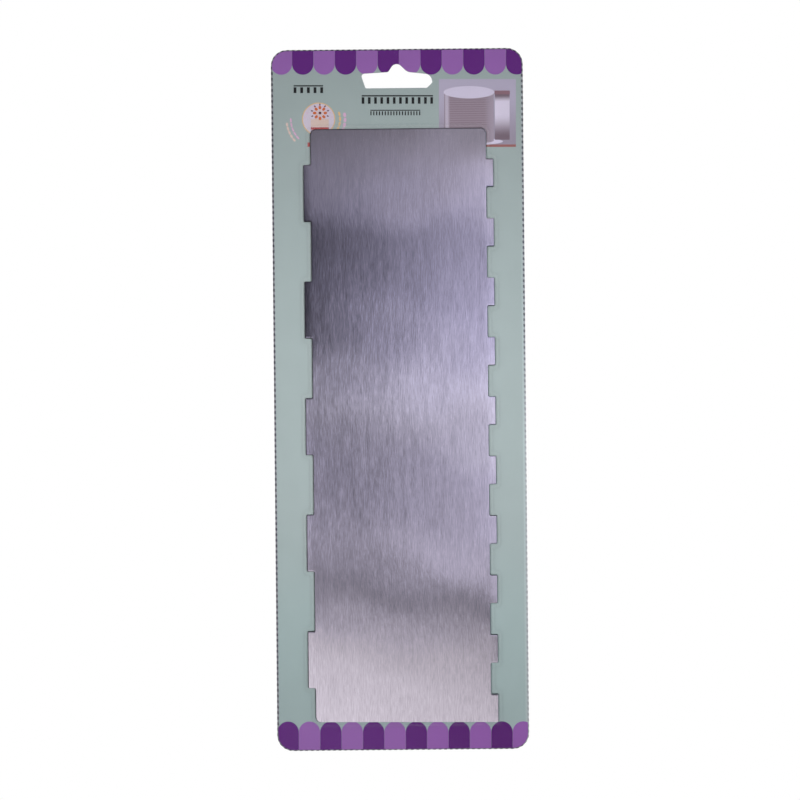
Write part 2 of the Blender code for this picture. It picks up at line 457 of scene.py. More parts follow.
def run_tree(tree, name, values):
    """Runs a tree on an empty mesh and returns the plain mesh object that it makes."""
    helper = place_object(name + "_helper", bpy.data.meshes.new(name + "_helper"))
    modifier = helper.modifiers.new("Nodes", "NODES")
    modifier.node_group = tree
    sockets = {s.name: s.identifier for s in tree.interface.items_tree if s.in_out == "INPUT"}
    for label, value in values.items():
        modifier[sockets[label]] = value
    graph = bpy.context.evaluated_depsgraph_get()
    mesh = bpy.data.meshes.new_from_object(helper.evaluated_get(graph))
    bpy.data.objects.remove(helper)
    if not mesh.polygons:
        raise RuntimeError(f"the tree for {name} made no faces")
    drop_empty_slots(mesh)
    shape = bmesh.new()
    shape.from_mesh(mesh)
    bmesh.ops.recalc_face_normals(shape, faces=shape.faces)
    shape.to_mesh(mesh)
    shape.free()
    mesh.name = name
    return place_object(name, mesh)


def drop_empty_slots(mesh):
    """Leaves out the material slots that no face of a tree's mesh uses."""
    finishes = [mesh.materials[face.material_index] for face in mesh.polygons]
    used = sorted(set(finishes), key=lambda finish: finish.name)
    mesh.materials.clear()
    for finish in used:
        mesh.materials.append(finish)
    for face, finish in zip(mesh.polygons, finishes):
        face.material_index = used.index(finish)


def closed_curve(name, points):
    """A closed poly curve flat in X and Y, for a tree to read."""
    data = bpy.data.curves.new(name, "CURVE")
    data.dimensions = "3D"
    spline = data.splines.new("POLY")
    spline.points.add(len(points) - 1)
    for place, (across, up) in zip(spline.points, points):
        place.co = (across, up, 0, 1)
    spline.use_cyclic_u = True
    return place_object(name, data)


def front_loops(node):
    """The edges of a packed node's front as loops of (x, z), each anticlockwise, the widest first."""
    shape = bmesh.new()
    shape.from_mesh(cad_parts[node].data)
    bmesh.ops.remove_doubles(shape, verts=shape.verts, dist=WELD)
    bmesh.ops.delete(shape, geom=[f for f in shape.faces if f.normal.y > -0.9], context="FACES")
    rim = [e for e in shape.edges if e.is_boundary]
    loops = []
    while rim:
        edge = rim.pop()
        chain = [edge.verts[0], edge.verts[1]]
        while chain[-1] is not chain[0]:
            edge = next(e for e in chain[-1].link_edges if e in rim)
            rim.remove(edge)
            chain.append(edge.other_vert(chain[-1]))
        loops.append([(v.co.x, v.co.z) for v in chain[:-1]])
    shape.free()
    loops = [loop if loop_area(loop) > 0 else loop[::-1] for loop in loops]
    return sorted(loops, key=loop_area, reverse=True)


def loop_area(loop):
    pairs = zip(loop, loop[1:] + loop[:1])
    return sum(a[0] * b[1] - b[0] * a[1] for a, b in pairs) / 2


def loop_length(loop):
    return sum(math.dist(a, b) for a, b in zip(loop, loop[1:] + loop[:1]))


def set_in(loop, distance):
    """The loop moved inwards by distance. A corner rounder than that shrinks to one place for its points."""
    points = [Vector(point) for point in loop]
    count = len(points)
    moved = []
    for before, here, after in zip(points[-1:] + points[:-1], points, points[1:] + points[:1]):
        first = (here - before).normalized()
        along = (first + (after - here).normalized()).normalized()
        moved.append(here + Vector((-along.y, along.x)) * distance / along.dot(first))

    def crossed(i):
        """Whether the side from point i has turned round."""
        here, after = i % count, (i + 1) % count
        return (moved[after] - moved[here]).dot(points[after] - points[here]) <= 0

    corners = dict(enumerate(moved))
    for start in range(count):
        if crossed(start) and not crossed(start - 1):
            end = start + 1
            while crossed(end):
                end += 1
            sides = [moved[i % count].to_3d() for i in (start - 1, start, end, end + 1)]
            corner = intersect_line_line(*sides)[0].to_2d()
            corners.update({i % count: corner for i in range(start, end + 1)})
    return [tuple(corners[i]) for i in range(count)]


def rounded(corners, steps=8):
    """The outline through corners (x, z, radius) in millimetres, each rounded by its radius."""
    outline = []
    for before, here, after in zip(corners[-1:] + corners[:-1], corners, corners[1:] + corners[:1]):
        corner, radius = Vector(here[:2]), here[2]
        back = (Vector(before[:2]) - corner).normalized()
        onward = (Vector(after[:2]) - corner).normalized()
        half = back.angle(onward) / 2
        middle = corner + (back + onward).normalized() * radius / math.sin(half)
        first = corner + back * radius / math.tan(half) - middle
        last = corner + onward * radius / math.tan(half) - middle
        for i in range(steps + 1):
            outline.append(tuple((middle + first.lerp(last, i / steps).normalized() * radius) * MM))
    return outline


def turned(points, pivot, turn):
    """Points in (x, z) turned anticlockwise about pivot."""
    cosine, sine = math.cos(turn), math.sin(turn)
    offsets = [(x - pivot[0], z - pivot[1]) for x, z in points]
    return [(pivot[0] + x * cosine - z * sine, pivot[1] + x * sine + z * cosine) for x, z in offsets]


def block(middle, half_across, half_up):
    """A rectangle in (x, z)."""
    x, z = middle
    corners = ((-1, -1), (1, -1), (1, 1), (-1, 1))
    return [(x + across * half_across, z + up * half_up) for across, up in corners]


def ellipse(centre, across, up, steps=48, start=0.0, end=math.tau):
    """Points on an ellipse in (x, z) from start to end."""
    whole = math.isclose(end - start, math.tau)
    count = steps if whole else steps + 1
    angles = [start + (end - start) * i / steps for i in range(count)]
    return [(centre[0] + across * math.cos(a), centre[1] + up * math.sin(a)) for a in angles]


def ringed_solid(name, rings, materials):
    """A closed solid from rings of equally many points, front to back. Each ring is (points, y, finish),
    and the finish is that of what lies before it."""
    shape = bmesh.new()
    made = [[shape.verts.new((x, depth, z)) for x, z in points] for points, depth, finish in rings]
    for end in (made[0], made[-1][::-1]):
        shape.faces.new(end).material_index = rings[0][2]
    for near, far, (points, depth, finish) in zip(made, made[1:], rings[1:]):
        for i in range(len(points)):
            j = (i + 1) % len(points)
            shape.faces.new((near[j], near[i], far[i], far[j])).material_index = finish
    bmesh.ops.remove_doubles(shape, verts=shape.verts, dist=RING_WELD)
    bmesh.ops.dissolve_degenerate(shape, edges=shape.edges, dist=RING_WELD)
    bmesh.ops.recalc_face_normals(shape, faces=shape.faces)
    bmesh.ops.triangulate(shape, faces=[f for f in shape.faces if len(f.verts) > 4])
    return place_object(name, finished_mesh(name, shape, materials))


def board_tree():
    """Board with a crushed rim: rings follow its outline, each set in and down, and torn ties stand out."""
    kinds = {
        "Object": ("Outline", "Slot"),
        "Int": ("Perforations", "Steps"),
        "Float": ("Tie share", "Tie height", "Rim width", "Rim drop", "Thickness"),
        "Vector": ("Base",),
        "Material": ("Face", "Back", "Crushed", "Tie"),
    }
    desk = ShapeDesk("Perforated board", **kinds)
    given = desk.given
    count = desk.times(given["Perforations"], given["Steps"])
    phase = desk.math("FRACT", desk.over(desk.index(), given["Steps"]))
    # A little under the share, so that the point at a tie's end counts as between ties
    tie_end = desk.minus(given["Tie share"], 0.001)
    between_ties = desk.math("GREATER_THAN", phase, tie_end)
    in_tie = desk.math("LESS_THAN", phase, tie_end)
    outward = desk.vector("CROSS_PRODUCT", desk.out("GeometryNodeInputTangent"), (0, 0, 1))
    outline = {"Curve": desk.curve("Outline"), "Count": count}
    evenly = desk.out("GeometryNodeResampleCurve", outline, mode="COUNT")

    def ring(inset, height):
        """The outline set in by inset and lifted to height, still a curve."""
        inward = desk.scaled(outward, desk.times(inset, -1.0))
        return desk.moved(evenly, desk.vector("ADD", inward, desk.combined(Z=height)))

    wave = desk.times(between_ties, given["Tie height"])
    half = desk.plus(desk.times(given["Rim width"], 0.5), desk.times(wave, 0.5))
    bottom = desk.minus(given["Thickness"], given["Rim drop"])
    # Halfway across, the crushed band has dropped by this share of its drop
    share_at_half = 0.3
    middle = desk.minus(given["Thickness"], desk.times(given["Rim drop"], share_at_half))
    rings = [
        ring(given["Rim width"], given["Thickness"]),
        ring(half, middle),
        ring(wave, bottom),
        ring(wave, 0.0),
    ]
    slot = desk.curve("Slot")
    lift = desk.combined(Z=given["Thickness"])
    slot_front = desk.moved(slot, lift)
    slot_count = desk.out("GeometryNodeAttributeDomainSize", {0: slot}, "Point Count", component="CURVE")
    # A fill lies at zero, so the face is lifted to its ring
    face = desk.painted(desk.moved(desk.filled(rings[0], slot_front), lift), given["Face"])
    rear = desk.painted(desk.flipped(desk.filled(rings[3], slot)), given["Back"])
    bands = [desk.band(upper, lower, count) for upper, lower in zip(rings, rings[1:])]
    bands.append(desk.band(slot, slot_front, slot_count))
    inner, outer, side, slot_wall = (desk.painted(band, given["Crushed"]) for band in bands)
    # The torn ties take the tie finish, which is painted shade for the perforation's nicks
    torn = [desk.painted(band, given["Tie"], in_tie) for band in (inner, outer)]
    return desk.end(desk.welded(desk.joined(face, rear, *torn, side, slot_wall)))


def scallop_tree():
    """A row of round-ended awning scallops, every second one, cut to the card and its slot."""
    kinds = {
        "Object": ("Outline", "Slot"),
        "Int": ("Count",),
        "Float": ("First", "Turn", "Pitch", "Gap", "Drop", "Ink height"),
        "Vector": ("Edge", "Base"),
        "Material": ("Ink",),
    }
    desk = ShapeDesk("Awning scallops", **kinds)
    given = desk.given
    width = desk.minus(given["Pitch"], given["Gap"])
    height, radius = desk.times(given["Drop"], 2.0), desk.times(width, 0.499)
    flap = desk.round_ended(width, height, radius, steps=16)
    along = desk.direction(given["Turn"])
    start = desk.scaled(along, desk.times(given["First"], given["Pitch"]))
    step = desk.scaled(along, desk.times(given["Pitch"], 2.0))
    row = desk.row(given["Count"], desk.vector("ADD", given["Edge"], start), step)
    flaps = desk.realized(desk.copies(row, flap, desk.combined(Z=given["Turn"])))
    # The cutter reaches well past the ink, below it and above it
    reach = 1 * MM
    field = desk.moved(desk.filled(desk.curve("Outline"), desk.curve("Slot")), desk.combined(Z=-reach))
    cut = desk.add("GeometryNodeMeshBoolean", operation="INTERSECT", solver="EXACT")
    for solid in (flaps, desk.thick(field, 2 * reach)):
        desk.tree.links.new(solid, cut.inputs["Mesh 2"])
    return desk.end(cut.outputs[0], given["Ink"])


def tooth_row_tree():
    """A comb's tooth profile as small print: a rule with separate teeth under it."""
    kinds = {
        "Int": ("Teeth",),
        "Float": ("Turn", "Width", "Height", "Space share", "Rule share", "Gap share", "Ink height"),
        "Vector": ("Centre", "Base"),
        "Material": ("Ink",),
    }
    desk = ShapeDesk("Tooth profile", **kinds)
    given = desk.given
    rule_height = desk.times(given["Height"], given["Rule share"])
    tooth_share = desk.minus(1.0, desk.plus(given["Rule share"], given["Gap share"]))
    tooth_height = desk.times(given["Height"], tooth_share)
    raster = desk.over(given["Width"], desk.minus(given["Teeth"], given["Space share"]))
    tooth_width = desk.times(raster, desk.minus(1.0, given["Space share"]))
    half_up = desk.times(desk.minus(given["Height"], rule_height), 0.5)
    rule = desk.set_down(desk.rectangle(given["Width"], rule_height), desk.combined(Y=half_up))
    left = desk.times(desk.minus(tooth_width, given["Width"]), 0.5)
    low = desk.times(desk.minus(tooth_height, given["Height"]), 0.5)
    row = desk.row(given["Teeth"], desk.combined(X=left, Y=low), desk.combined(X=raster))
    teeth = desk.copies(row, desk.rectangle(tooth_width, tooth_height))
    marks = desk.set_down(desk.joined(rule, teeth), given["Centre"], desk.combined(Z=given["Turn"]))
    return desk.end(marks, given["Ink"])


def petal_tree():
    """Round-ended petals or dashes on an arc. Each points away from the centre, or at a lean of 90 degrees
    lies along the arc."""
    kinds = {
        "Int": ("Petals",),
        "Float": ("Radius", "First angle", "Angle step", "Lean", "Length", "Width", "Ink height"),
        "Vector": ("Centre", "Base"),
        "Material": ("Ink",),
    }
    desk = ShapeDesk("Petals on an arc", **kinds)
    given = desk.given
    radius = desk.times(given["Width"], 0.49)
    petal = desk.round_ended(given["Length"], given["Width"], radius, steps=6)
    points = desk.row(given["Petals"], given["Centre"], (0, 0, 0))
    place = desk.plus(given["First angle"], desk.times(desk.index(), given["Angle step"]))
    points = desk.moved(points, desk.scaled(desk.direction(place), given["Radius"]))
    turn = desk.combined(Z=desk.plus(place, given["Lean"]))
    return desk.end(desk.copies(points, petal, turn), given["Ink"])


def print_grain():
    """Shader group for paper stock and ink: fine fibre grain and a soft mottle."""
    name = "Print grain"
    if name in bpy.data.node_groups:
        return bpy.data.node_groups[name]
    tree = bpy.data.node_groups.new(name, "ShaderNodeTree")
    for way, labels in (("INPUT", ("Grain", "Mottle", "Roughness")), ("OUTPUT", ("Roughness", "Height"))):
        tree.interface.new_socket("Colour", in_out=way, socket_type="NodeSocketColor")
        for label in labels:
            tree.interface.new_socket(label, in_out=way, socket_type="NodeSocketFloat")
    desk = FinishDesk(tree)
    given = desk.add("NodeGroupInput").outputs
    place = desk.place()
    fibre = desk.noise(place, scale=2400.0, detail=4.0, roughness=0.7)
    cloud = desk.noise(place, scale=90.0, detail=3.0)
    value = desk.plus(1.0, desk.times(fibre, given["Grain"]), desk.times(cloud, given["Mottle"]))
    rough = desk.plus(given["Roughness"], desk.times(fibre, 0.2))
    results = {"Colour": desk.toned(given["Colour"], value), "Roughness": rough, "Height": fibre}
    desk.add("NodeGroupOutput", results)
    return tree


def empty_desk(owner):
    """A desk on the emptied node tree of a material or a world."""
    owner.use_nodes = True
    owner.node_tree.nodes.clear()
    return FinishDesk(owner.node_tree)


def new_finish(name):
    """A material with its desk and its Principled shader."""
    material = bpy.data.materials.new(name)
    desk = empty_desk(material)
    shader = desk.add("ShaderNodeBsdfPrincipled")
    desk.add("ShaderNodeOutputMaterial", {"Surface": shader.outputs[0]})
    return material, desk, shader


def printed(name, rgb, grain=0.12, mottle=0.08, roughness=0.5, paint=None):
    """Stock or ink with print grain. paint may change the colour before the grain."""
    material, desk, shader = new_finish(name)
    base = paint(desk, rgb) if paint else opaque(rgb)
    stock = {"Colour": base, "Grain": grain, "Mottle": mottle, "Roughness": roughness}
    grained = desk.add("ShaderNodeGroup", stock, node_tree=print_grain()).outputs
    look = {
        "Base Color": grained["Colour"],
        "Roughness": grained["Roughness"],
        "Normal": desk.relief(grained["Height"], distance=0.02 * MM, strength=0.35),
        "Specular IOR Level": 0.3,
    }
    desk.feed(shader, look)
    return material


def wear_ink(piece):
    """A printed piece rides on the card."""
    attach(piece, "card")


def layer_front(layer):
    """How far forward the ink's layer of that number starts."""
    return FRONT - layer * bpy.context.scene.comb_print.ink_height


def print_patch(name, outline, layer, material):
    """Prints a thin closed patch of ink from its outline in (x, z)."""
    ends = (layer_front(layer + 1), layer_front(layer))
    wear_ink(ringed_solid(name, [(outline, end, 0) for end in ends], [material]))


def print_tree(tree, name, layer, material, values):
    """Prints what a tree makes."""
    height = bpy.context.scene.comb_print.ink_height
    shared = {"Ink height": height, "Base": Vector((0, layer_front(layer), 0)), "Ink": material}
    wear_ink(run_tree(tree, name, {**values, **shared}))


class COMB_OT_backing_board(bpy.types.Operator):
    """Makes the printed board with its crushed, perforated rim"""

    bl_idname = "cake_comb.backing_board"
    bl_label = "Backing Board"

    # Points of the outline to one cut and one tie
    steps = 8

    # Heights between which the print turns greener, and the painted highlight of the film's seal comes to
    # show, down the card
    greening = (-0.185, -0.25)
    seal_highlight_fade = (-0.06, -0.11)

    # Places across between which the right rim and its ties turn pale with painted light, and the seal's
    # painted highlight line with its softness
    painted_light_rim = (CARD_HIGH.x - 1.2 * MM, CARD_HIGH.x - 0.4 * MM)
    painted_light_ties = (CARD_HIGH.x - 3.0 * MM, CARD_HIGH.x - 2.0 * MM)
    seal_highlight_line = (CARD_HIGH.x - 1.25 * MM, CARD_HIGH.x - 0.95 * MM, 0.3 * MM)

    # Heights between which the ties' painted shade deepens at the head, and their painted tones elsewhere
    painted_shade_ties = (CARD_HIGH.z - 3.0 * MM, CARD_HIGH.z - 1.5 * MM)
    side_tie_shade = tone(84, 82, 92)
    upper_right_tie_lit = tone(98, 100, 108)
    lower_right_tie_highlight = tone(162, 168, 172)

    def execute(self, context):
        card = context.scene.comb_card
        outer = front_loops("backing_card")[0]
        curves = closed_curve("card_outline", outer), closed_curve("slot_outline", rounded(SLOT_CORNERS))
        finishes = {
            "Face": printed("sage_face", card.face, roughness=0.45, paint=self.face_and_highlight_paint),
            "Back": printed("grey_back", card.back, grain=0.35, mottle=0.15, roughness=0.85),
            "Crushed": printed("crushed_rim", card.crushed, grain=0.5, roughness=0.8, paint=self.rim_light_paint),
            "Tie": printed("torn_tie", card.tie, grain=0.5, roughness=0.85, paint=self.tie_light_and_shade_paint),
        }
        sizes = {
            "Outline": curves[0],
            "Slot": curves[1],
            "Perforations": round(loop_length(outer) / card.perforation_pitch),
            "Steps": self.steps,
            "Tie share": card.tie_share,
            "Tie height": card.tie_height,
            "Rim width": card.rim_width,
            "Rim drop": card.rim_drop,
            "Thickness": BACK - FRONT,
            "Base": Vector((0, BACK, 0)),
        }
        board = run_tree(board_tree(), "perforated_board", {**sizes, **finishes})
        for helper in curves:
            bpy.data.objects.remove(helper)
        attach(board, "card")
        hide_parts("backing_card")
        return {"FINISHED"}

    def rim_light_paint(self, desk, base):
        """Painted light: the board's crushed rim is painted pale down its right side."""
        right = desk.rise(desk.axis("X"), *self.painted_light_rim)
        return desk.blend(right, base, bpy.context.scene.comb_card.pale)

    def tie_light_and_shade_paint(self, desk, base):
        """Painted shade and light on the ties: darkest at the head and pale down the right rim."""
        across, up = desk.axis("X"), desk.axis("Z")
        sides = desk.blend(desk.rise(up, *self.painted_shade_ties), self.side_tie_shade, base)
        faded = desk.blend(desk.rise(up, *RIM_SHADE_FADE), self.upper_right_tie_lit, self.lower_right_tie_highlight)
        return desk.blend(desk.rise(across, *self.painted_light_ties), sides, faded)

    def face_and_highlight_paint(self, desk, base):
        """The print is greener at the foot, and a painted highlight of the film's seal makes a pale line
        inside the right rim.
        """
        card = bpy.context.scene.comb_card
        across, up = desk.axis("X"), desk.axis("Z")
        green = desk.blend(desk.rise(up, *self.greening), base, card.foot_face)
        line = desk.times(desk.window(across, *self.seal_highlight_line), desk.rise(up, *self.seal_highlight_fade))
        return desk.blend(line, green, card.seal)


class COMB_OT_awning_print(bpy.types.Operator):
    """Prints the rows of awning scallops at the card's head and foot"""

    bl_idname = "cake_comb.awning_print"
    bl_label = "Awning Scallops"

    count = 6
    slot_margin = 0.05 * MM

    # Places across the card, and heights, between which the ink grows heavier
    heavier_right = (-0.03, 0.045)
    heavier_foot = (-0.2, -0.28)

    def execute(self, context):
        ink = context.scene.comb_print
        outline = closed_curve("card_outline", set_in(front_loops("backing_card")[0], ink.rim_margin))
        slot = closed_curve("slot_outline", set_in(rounded(SLOT_CORNERS), -self.slot_margin))
        tree = scallop_tree()
        dark = self.purple("dark_purple_ink", ink.dark_purple, ink.deep_dark)
        light = self.purple("light_purple_ink", ink.light_purple, ink.deep_light)
        middle = (CARD_LOW.x + CARD_HIGH.x) / 2
        left = (CARD_LOW.x - middle) / ink.scallop_pitch + 0.5
        rows = (
            ("upper_scallops_light", light, 0, CARD_HIGH.z, ink.upper_drop),
            ("upper_scallops_dark", dark, 1, CARD_HIGH.z, ink.upper_drop),
            ("lower_scallops_dark", dark, 0, CARD_LOW.z, ink.lower_drop),
            ("lower_scallops_light", light, 1, CARD_LOW.z, ink.lower_drop),
        )
        for name, material, offset, edge, drop in rows:
            values = {
                "Outline": outline,
                "Slot": slot,
                "Count": self.count,
                "First": left + offset,
                "Edge": Vector((middle, edge, 0)),
                "Turn": ink.turn,
                "Pitch": ink.scallop_pitch,
                "Gap": ink.scallop_gap,
                "Drop": drop,
            }
            print_tree(tree, name, 0, material, values)
        for helper in (outline, slot):
            bpy.data.objects.remove(helper)
        return {"FINISHED"}

    def purple(self, name, rgb, deep):
        """Ink that lies heavier towards the right of the card's foot."""

        def paint(desk, base):
            right = desk.rise(desk.axis("X"), *self.heavier_right)
            foot = desk.rise(desk.axis("Z"), *self.heavier_foot)
            return desk.blend(desk.times(right, foot), base, deep)

        return printed(name, rgb, grain=0.10, mottle=0.10, paint=paint)


class COMB_OT_tooth_profiles(bpy.types.Operator):
    """Prints three small tooth profiles on the card's head"""

    bl_idname = "cake_comb.tooth_profiles"
    bl_label = "Tooth Profiles"

    # Name, centre, width and height in millimetres, teeth, and shares of space, rule and gap
    strips = (
        ("wide_tooth_profile", (0.1, -14.9), 30.0, 3.6, 12, 0.58, 0.15, 0.09),
        ("narrow_tooth_profile", (-0.8, -20.4), 21.0, 2.3, 18, 0.60, 0.17, 0.10),
        ("square_tooth_profile", (-37.3, -10.2), 12.4, 3.3, 5, 0.58, 0.16, 0.10),
    )

    def execute(self, context):
        ink = context.scene.comb_print
        tree = tooth_row_tree()
        black = printed("black_ink", ink.black, grain=0.2)
        for name, (x, z), width, height, teeth, space, rule, gap in self.strips:
            values = {
                "Centre": Vector((x * MM, z * MM, 0)),
                "Turn": ink.turn,
                "Width": width * MM,
                "Height": height * MM,
                "Teeth": teeth,
                "Space share": space,
                "Rule share": rule,
                "Gap share": gap,
            }
            print_tree(tree, name, 0, black, values)
        return {"FINISHED"}


class COMB_OT_roundel(bpy.types.Operator):
    """Prints the roundel: a ringed pale disc, a rosette on a small cake, and broken arcs beside it"""

    bl_idname = "cake_comb.roundel"
    bl_label = "Rosette Roundel"

    centre = Vector((-33.1, -22.9)) * MM
    heart = Vector((-32.5, -20.3)) * MM
    ring_width = 0.4 * MM
    outwards, lengthwise = 0, 90

    # Name, pivot, radius, number, first angle and step in degrees, lean, length and width, layer and ink
    petals = (
        ("rosette_outer_petals", heart, 2.25, 8, 0, 45, outwards, 1.5, 1.15, 3, "orange"),
        ("rosette_inner_petals", heart, 1.20, 6, 20, 60, outwards, 0.9, 0.75, 4, "peach"),
        ("rosette_leaves", heart, 3.5, 7, -22, 37.3, outwards, 0.9, 0.5, 2, "brown"),
        ("roundel_sprinkles", centre, 5.6, 9, 8, 20.5, outwards, 0.8, 0.28, 2, "pink"),
        ("left_arc_peach", centre, 13.5, 5, 189, 7.6, lengthwise, 1.65, 0.90, 0, "peach"),
        ("left_arc_pink", centre, 11.7, 5, 182, 9.6, lengthwise, 1.80, 0.70, 0, "pink"),
        ("right_arc_gold", centre, 9.0, 4, -27, 13.6, lengthwise, 1.9, 0.85, 0, "gold"),
        ("right_arc_pink", centre, 11.1, 4, -24, 11.0, lengthwise, 1.9, 1.15, 0, "pink"),
    )

    # Colour, grain and mottle of each ink
    inks = {
        "gold": (tone(214, 178, 128), 0.15, 0.08),
        "lilac": (tone(202, 192, 208), 0.2, 0.3),
        "pink": (tone(206, 168, 196), 0.15, 0.08),
        "peach": (tone(208, 186, 178), 0.4, 0.3),
        "orange": (tone(196, 104, 62), 0.15, 0.08),
        "brown": (tone(92, 44, 44), 0.15, 0.08),
        "red": (tone(176, 78, 78), 0.15, 0.08),
    }

    def execute(self, context):
        ink = context.scene.comb_print
        inks = {name: printed(name + "_ink", *look) for name, look in self.inks.items()}
        discs = (
            ("roundel_ring", self.centre, ink.disc_radius, 0, "gold"),
            ("roundel_disc", self.centre, ink.disc_radius - self.ring_width, 1, "lilac"),
            ("rosette_heart", self.heart, 0.6 * MM, 4, "brown"),
        )
        for name, middle, radius, layer, look in discs:
            print_patch(name, ellipse(middle, radius, radius, steps=64), layer, inks[look])
        blocks = (
            ("small_cake", self.centre + Vector((0.5, -1.6)) * MM, 3.8, 1.7, "peach"),
            ("small_cake_band", self.centre + Vector((0.5, -3.9)) * MM, 3.8, 0.5, "red"),
            ("small_cake_foot", Vector((-37.3, -33.6)) * MM, 0.5, 0.9, "red"),
        )
        for name, middle, half_across, half_up, look in blocks:
            outline = turned(block(middle, half_across * MM, half_up * MM), self.centre, ink.turn)
            print_patch(name, outline, 2, inks[look])
        tree = petal_tree()
        for name, pivot, reach, number, first, step, lean, size, width, layer, look in self.petals:
            values = {
                "Centre": Vector((*pivot, 0)),
                "Radius": reach * MM,
                "Petals": number,
                "First angle": math.radians(first),
                "Angle step": math.radians(step),
                "Lean": math.radians(lean),
                "Length": size * MM,
                "Width": width * MM,
            }
            print_tree(tree, name, layer, inks[look], values)
        return {"FINISHED"}


class COMB_OT_cake_picture(bpy.types.Operator):
    """Prints the picture at the card's upper right: a plain ridged cake on a turntable, and a scraper"""

    bl_idname = "cake_comb.cake_picture"
    bl_label = "Cake Picture"

    # Middles in (x, z), half widths and half heights of the ground, the cloth along its foot, the turntable
    # and the scraper
    middle = Vector((33.75, -20.9)) * MM
    half_across, half_up, cloth_half_up = 16.2 * MM, 14.3 * MM, 0.5 * MM
    foot = middle.y - half_up
    turntable = ((31.5 * MM, foot + 2.3 * MM), 13.0 * MM, 1.5 * MM)
    blade = ((44.2 * MM, -22.6 * MM), 3.1 * MM, 9.6 * MM)
    grip = ((44.2 * MM, -12.3 * MM), 3.2 * MM, 0.8 * MM)

    # Middles of the cake's top and foot, its half width, how far its rounds reach up and down from their
    # middles, and how far its top stands out past its side
    cake_top, cake_foot = (30.2 * MM, -12.2 * MM), (30.2 * MM, -32.6 * MM)
    cake_half, top_round, foot_round = 10.4 * MM, 2.6 * MM, 1.2 * MM
    top_overhang = 0.3 * MM

    # Pitch and strength of the ridges in the icing, and the places across between which its lit strip
    # starts and ends, and its far side turns
    ridge_pitch, ridge_strength = 0.95 * MM, 0.22
    lit_start, lit_end = (19.9 * MM, 20.4 * MM), (22.4 * MM, 21.0 * MM)
    far_side = (36 * MM, 40.5 * MM)

    # Heights between which the ground turns lighter, and those between which the blade turns dark
    ground_rise = (-34 * MM, -12 * MM)
    blade_head, blade_foot = (-16.5 * MM, -13.5 * MM), (-21 * MM, -31 * MM)

    def execute(self, context):
        self.turn = context.scene.comb_print.turn
        ground = printed("lavender_ink", tone(176, 169, 191), mottle=0.05, paint=self.ground_paint)
        icing = printed("icing_ink", tone(136, 120, 133), grain=0.3, paint=self.icing_paint)
        pale = printed("icing_top_ink", tone(206, 198, 220))
        cloth = printed("cloth_ink", tone(150, 98, 96))
        blade = printed("blade_ink", tone(212, 204, 224), grain=0.3, mottle=0.2, paint=self.blade_paint)
        grip = printed("grip_ink", tone(136, 104, 116))
        cloth_middle = (self.middle.x, self.foot + self.cloth_half_up)
        self.patch("picture_ground", block(self.middle, self.half_across, self.half_up), 0, ground)
        self.patch("picture_cloth", block(cloth_middle, self.half_across, self.cloth_half_up), 1, cloth)
        self.patch("turntable", ellipse(*self.turntable, steps=40), 2, pale)
        self.patch("scraper_blade", block(*self.blade), 3, blade)
        self.patch("scraper_grip", block(*self.grip), 4, grip)
        drum = ellipse(self.cake_foot, self.cake_half, self.foot_round, 24, math.pi, math.tau)
        drum += ellipse(self.cake_top, self.cake_half, self.top_round, 24, 0, math.pi)
        self.patch("cake_side", drum, 3, icing)
        top_half = self.cake_half + self.top_overhang
        self.patch("cake_top", ellipse(self.cake_top, top_half, self.top_round), 4, pale)
        return {"FINISHED"}

    def patch(self, name, outline, layer, material):
        """A patch of ink turned with the picture's frame."""
        print_patch(name, turned(outline, self.middle, self.turn), layer, material)

    def ground_paint(self, desk, base):
        """The ground darkens downwards."""
        return desk.blend(desk.rise(desk.axis("Z"), *self.ground_rise), tone(150, 141, 158), base)

    def icing_paint(self, desk, base):
        """Comb ridges round the cake, and a lit strip down its left side."""
        turns = desk.times(desk.axis("Z"), math.tau / self.ridge_pitch)
        ridge = desk.times_plus(desk.math("SINE", turns), 0.5, 0.5)
        ridged = desk.blend(desk.times(ridge, self.ridge_strength), base, tone(190, 178, 192))
        across = desk.axis("X")
        strip = desk.times(desk.rise(across, *self.lit_start), desk.rise(across, *self.lit_end))
        lit = desk.blend(strip, ridged, tone(184, 174, 192))
        return desk.blend(desk.rise(across, *self.far_side), lit, tone(160, 148, 164))

    def blade_paint(self, desk, base):
        """The blade is bright down its middle and dark at both ends."""
        up = desk.axis("Z")
        ends = desk.plus(desk.rise(up, *self.blade_head), desk.rise(up, *self.blade_foot))
        return desk.blend(ends, base, tone(116, 100, 112))


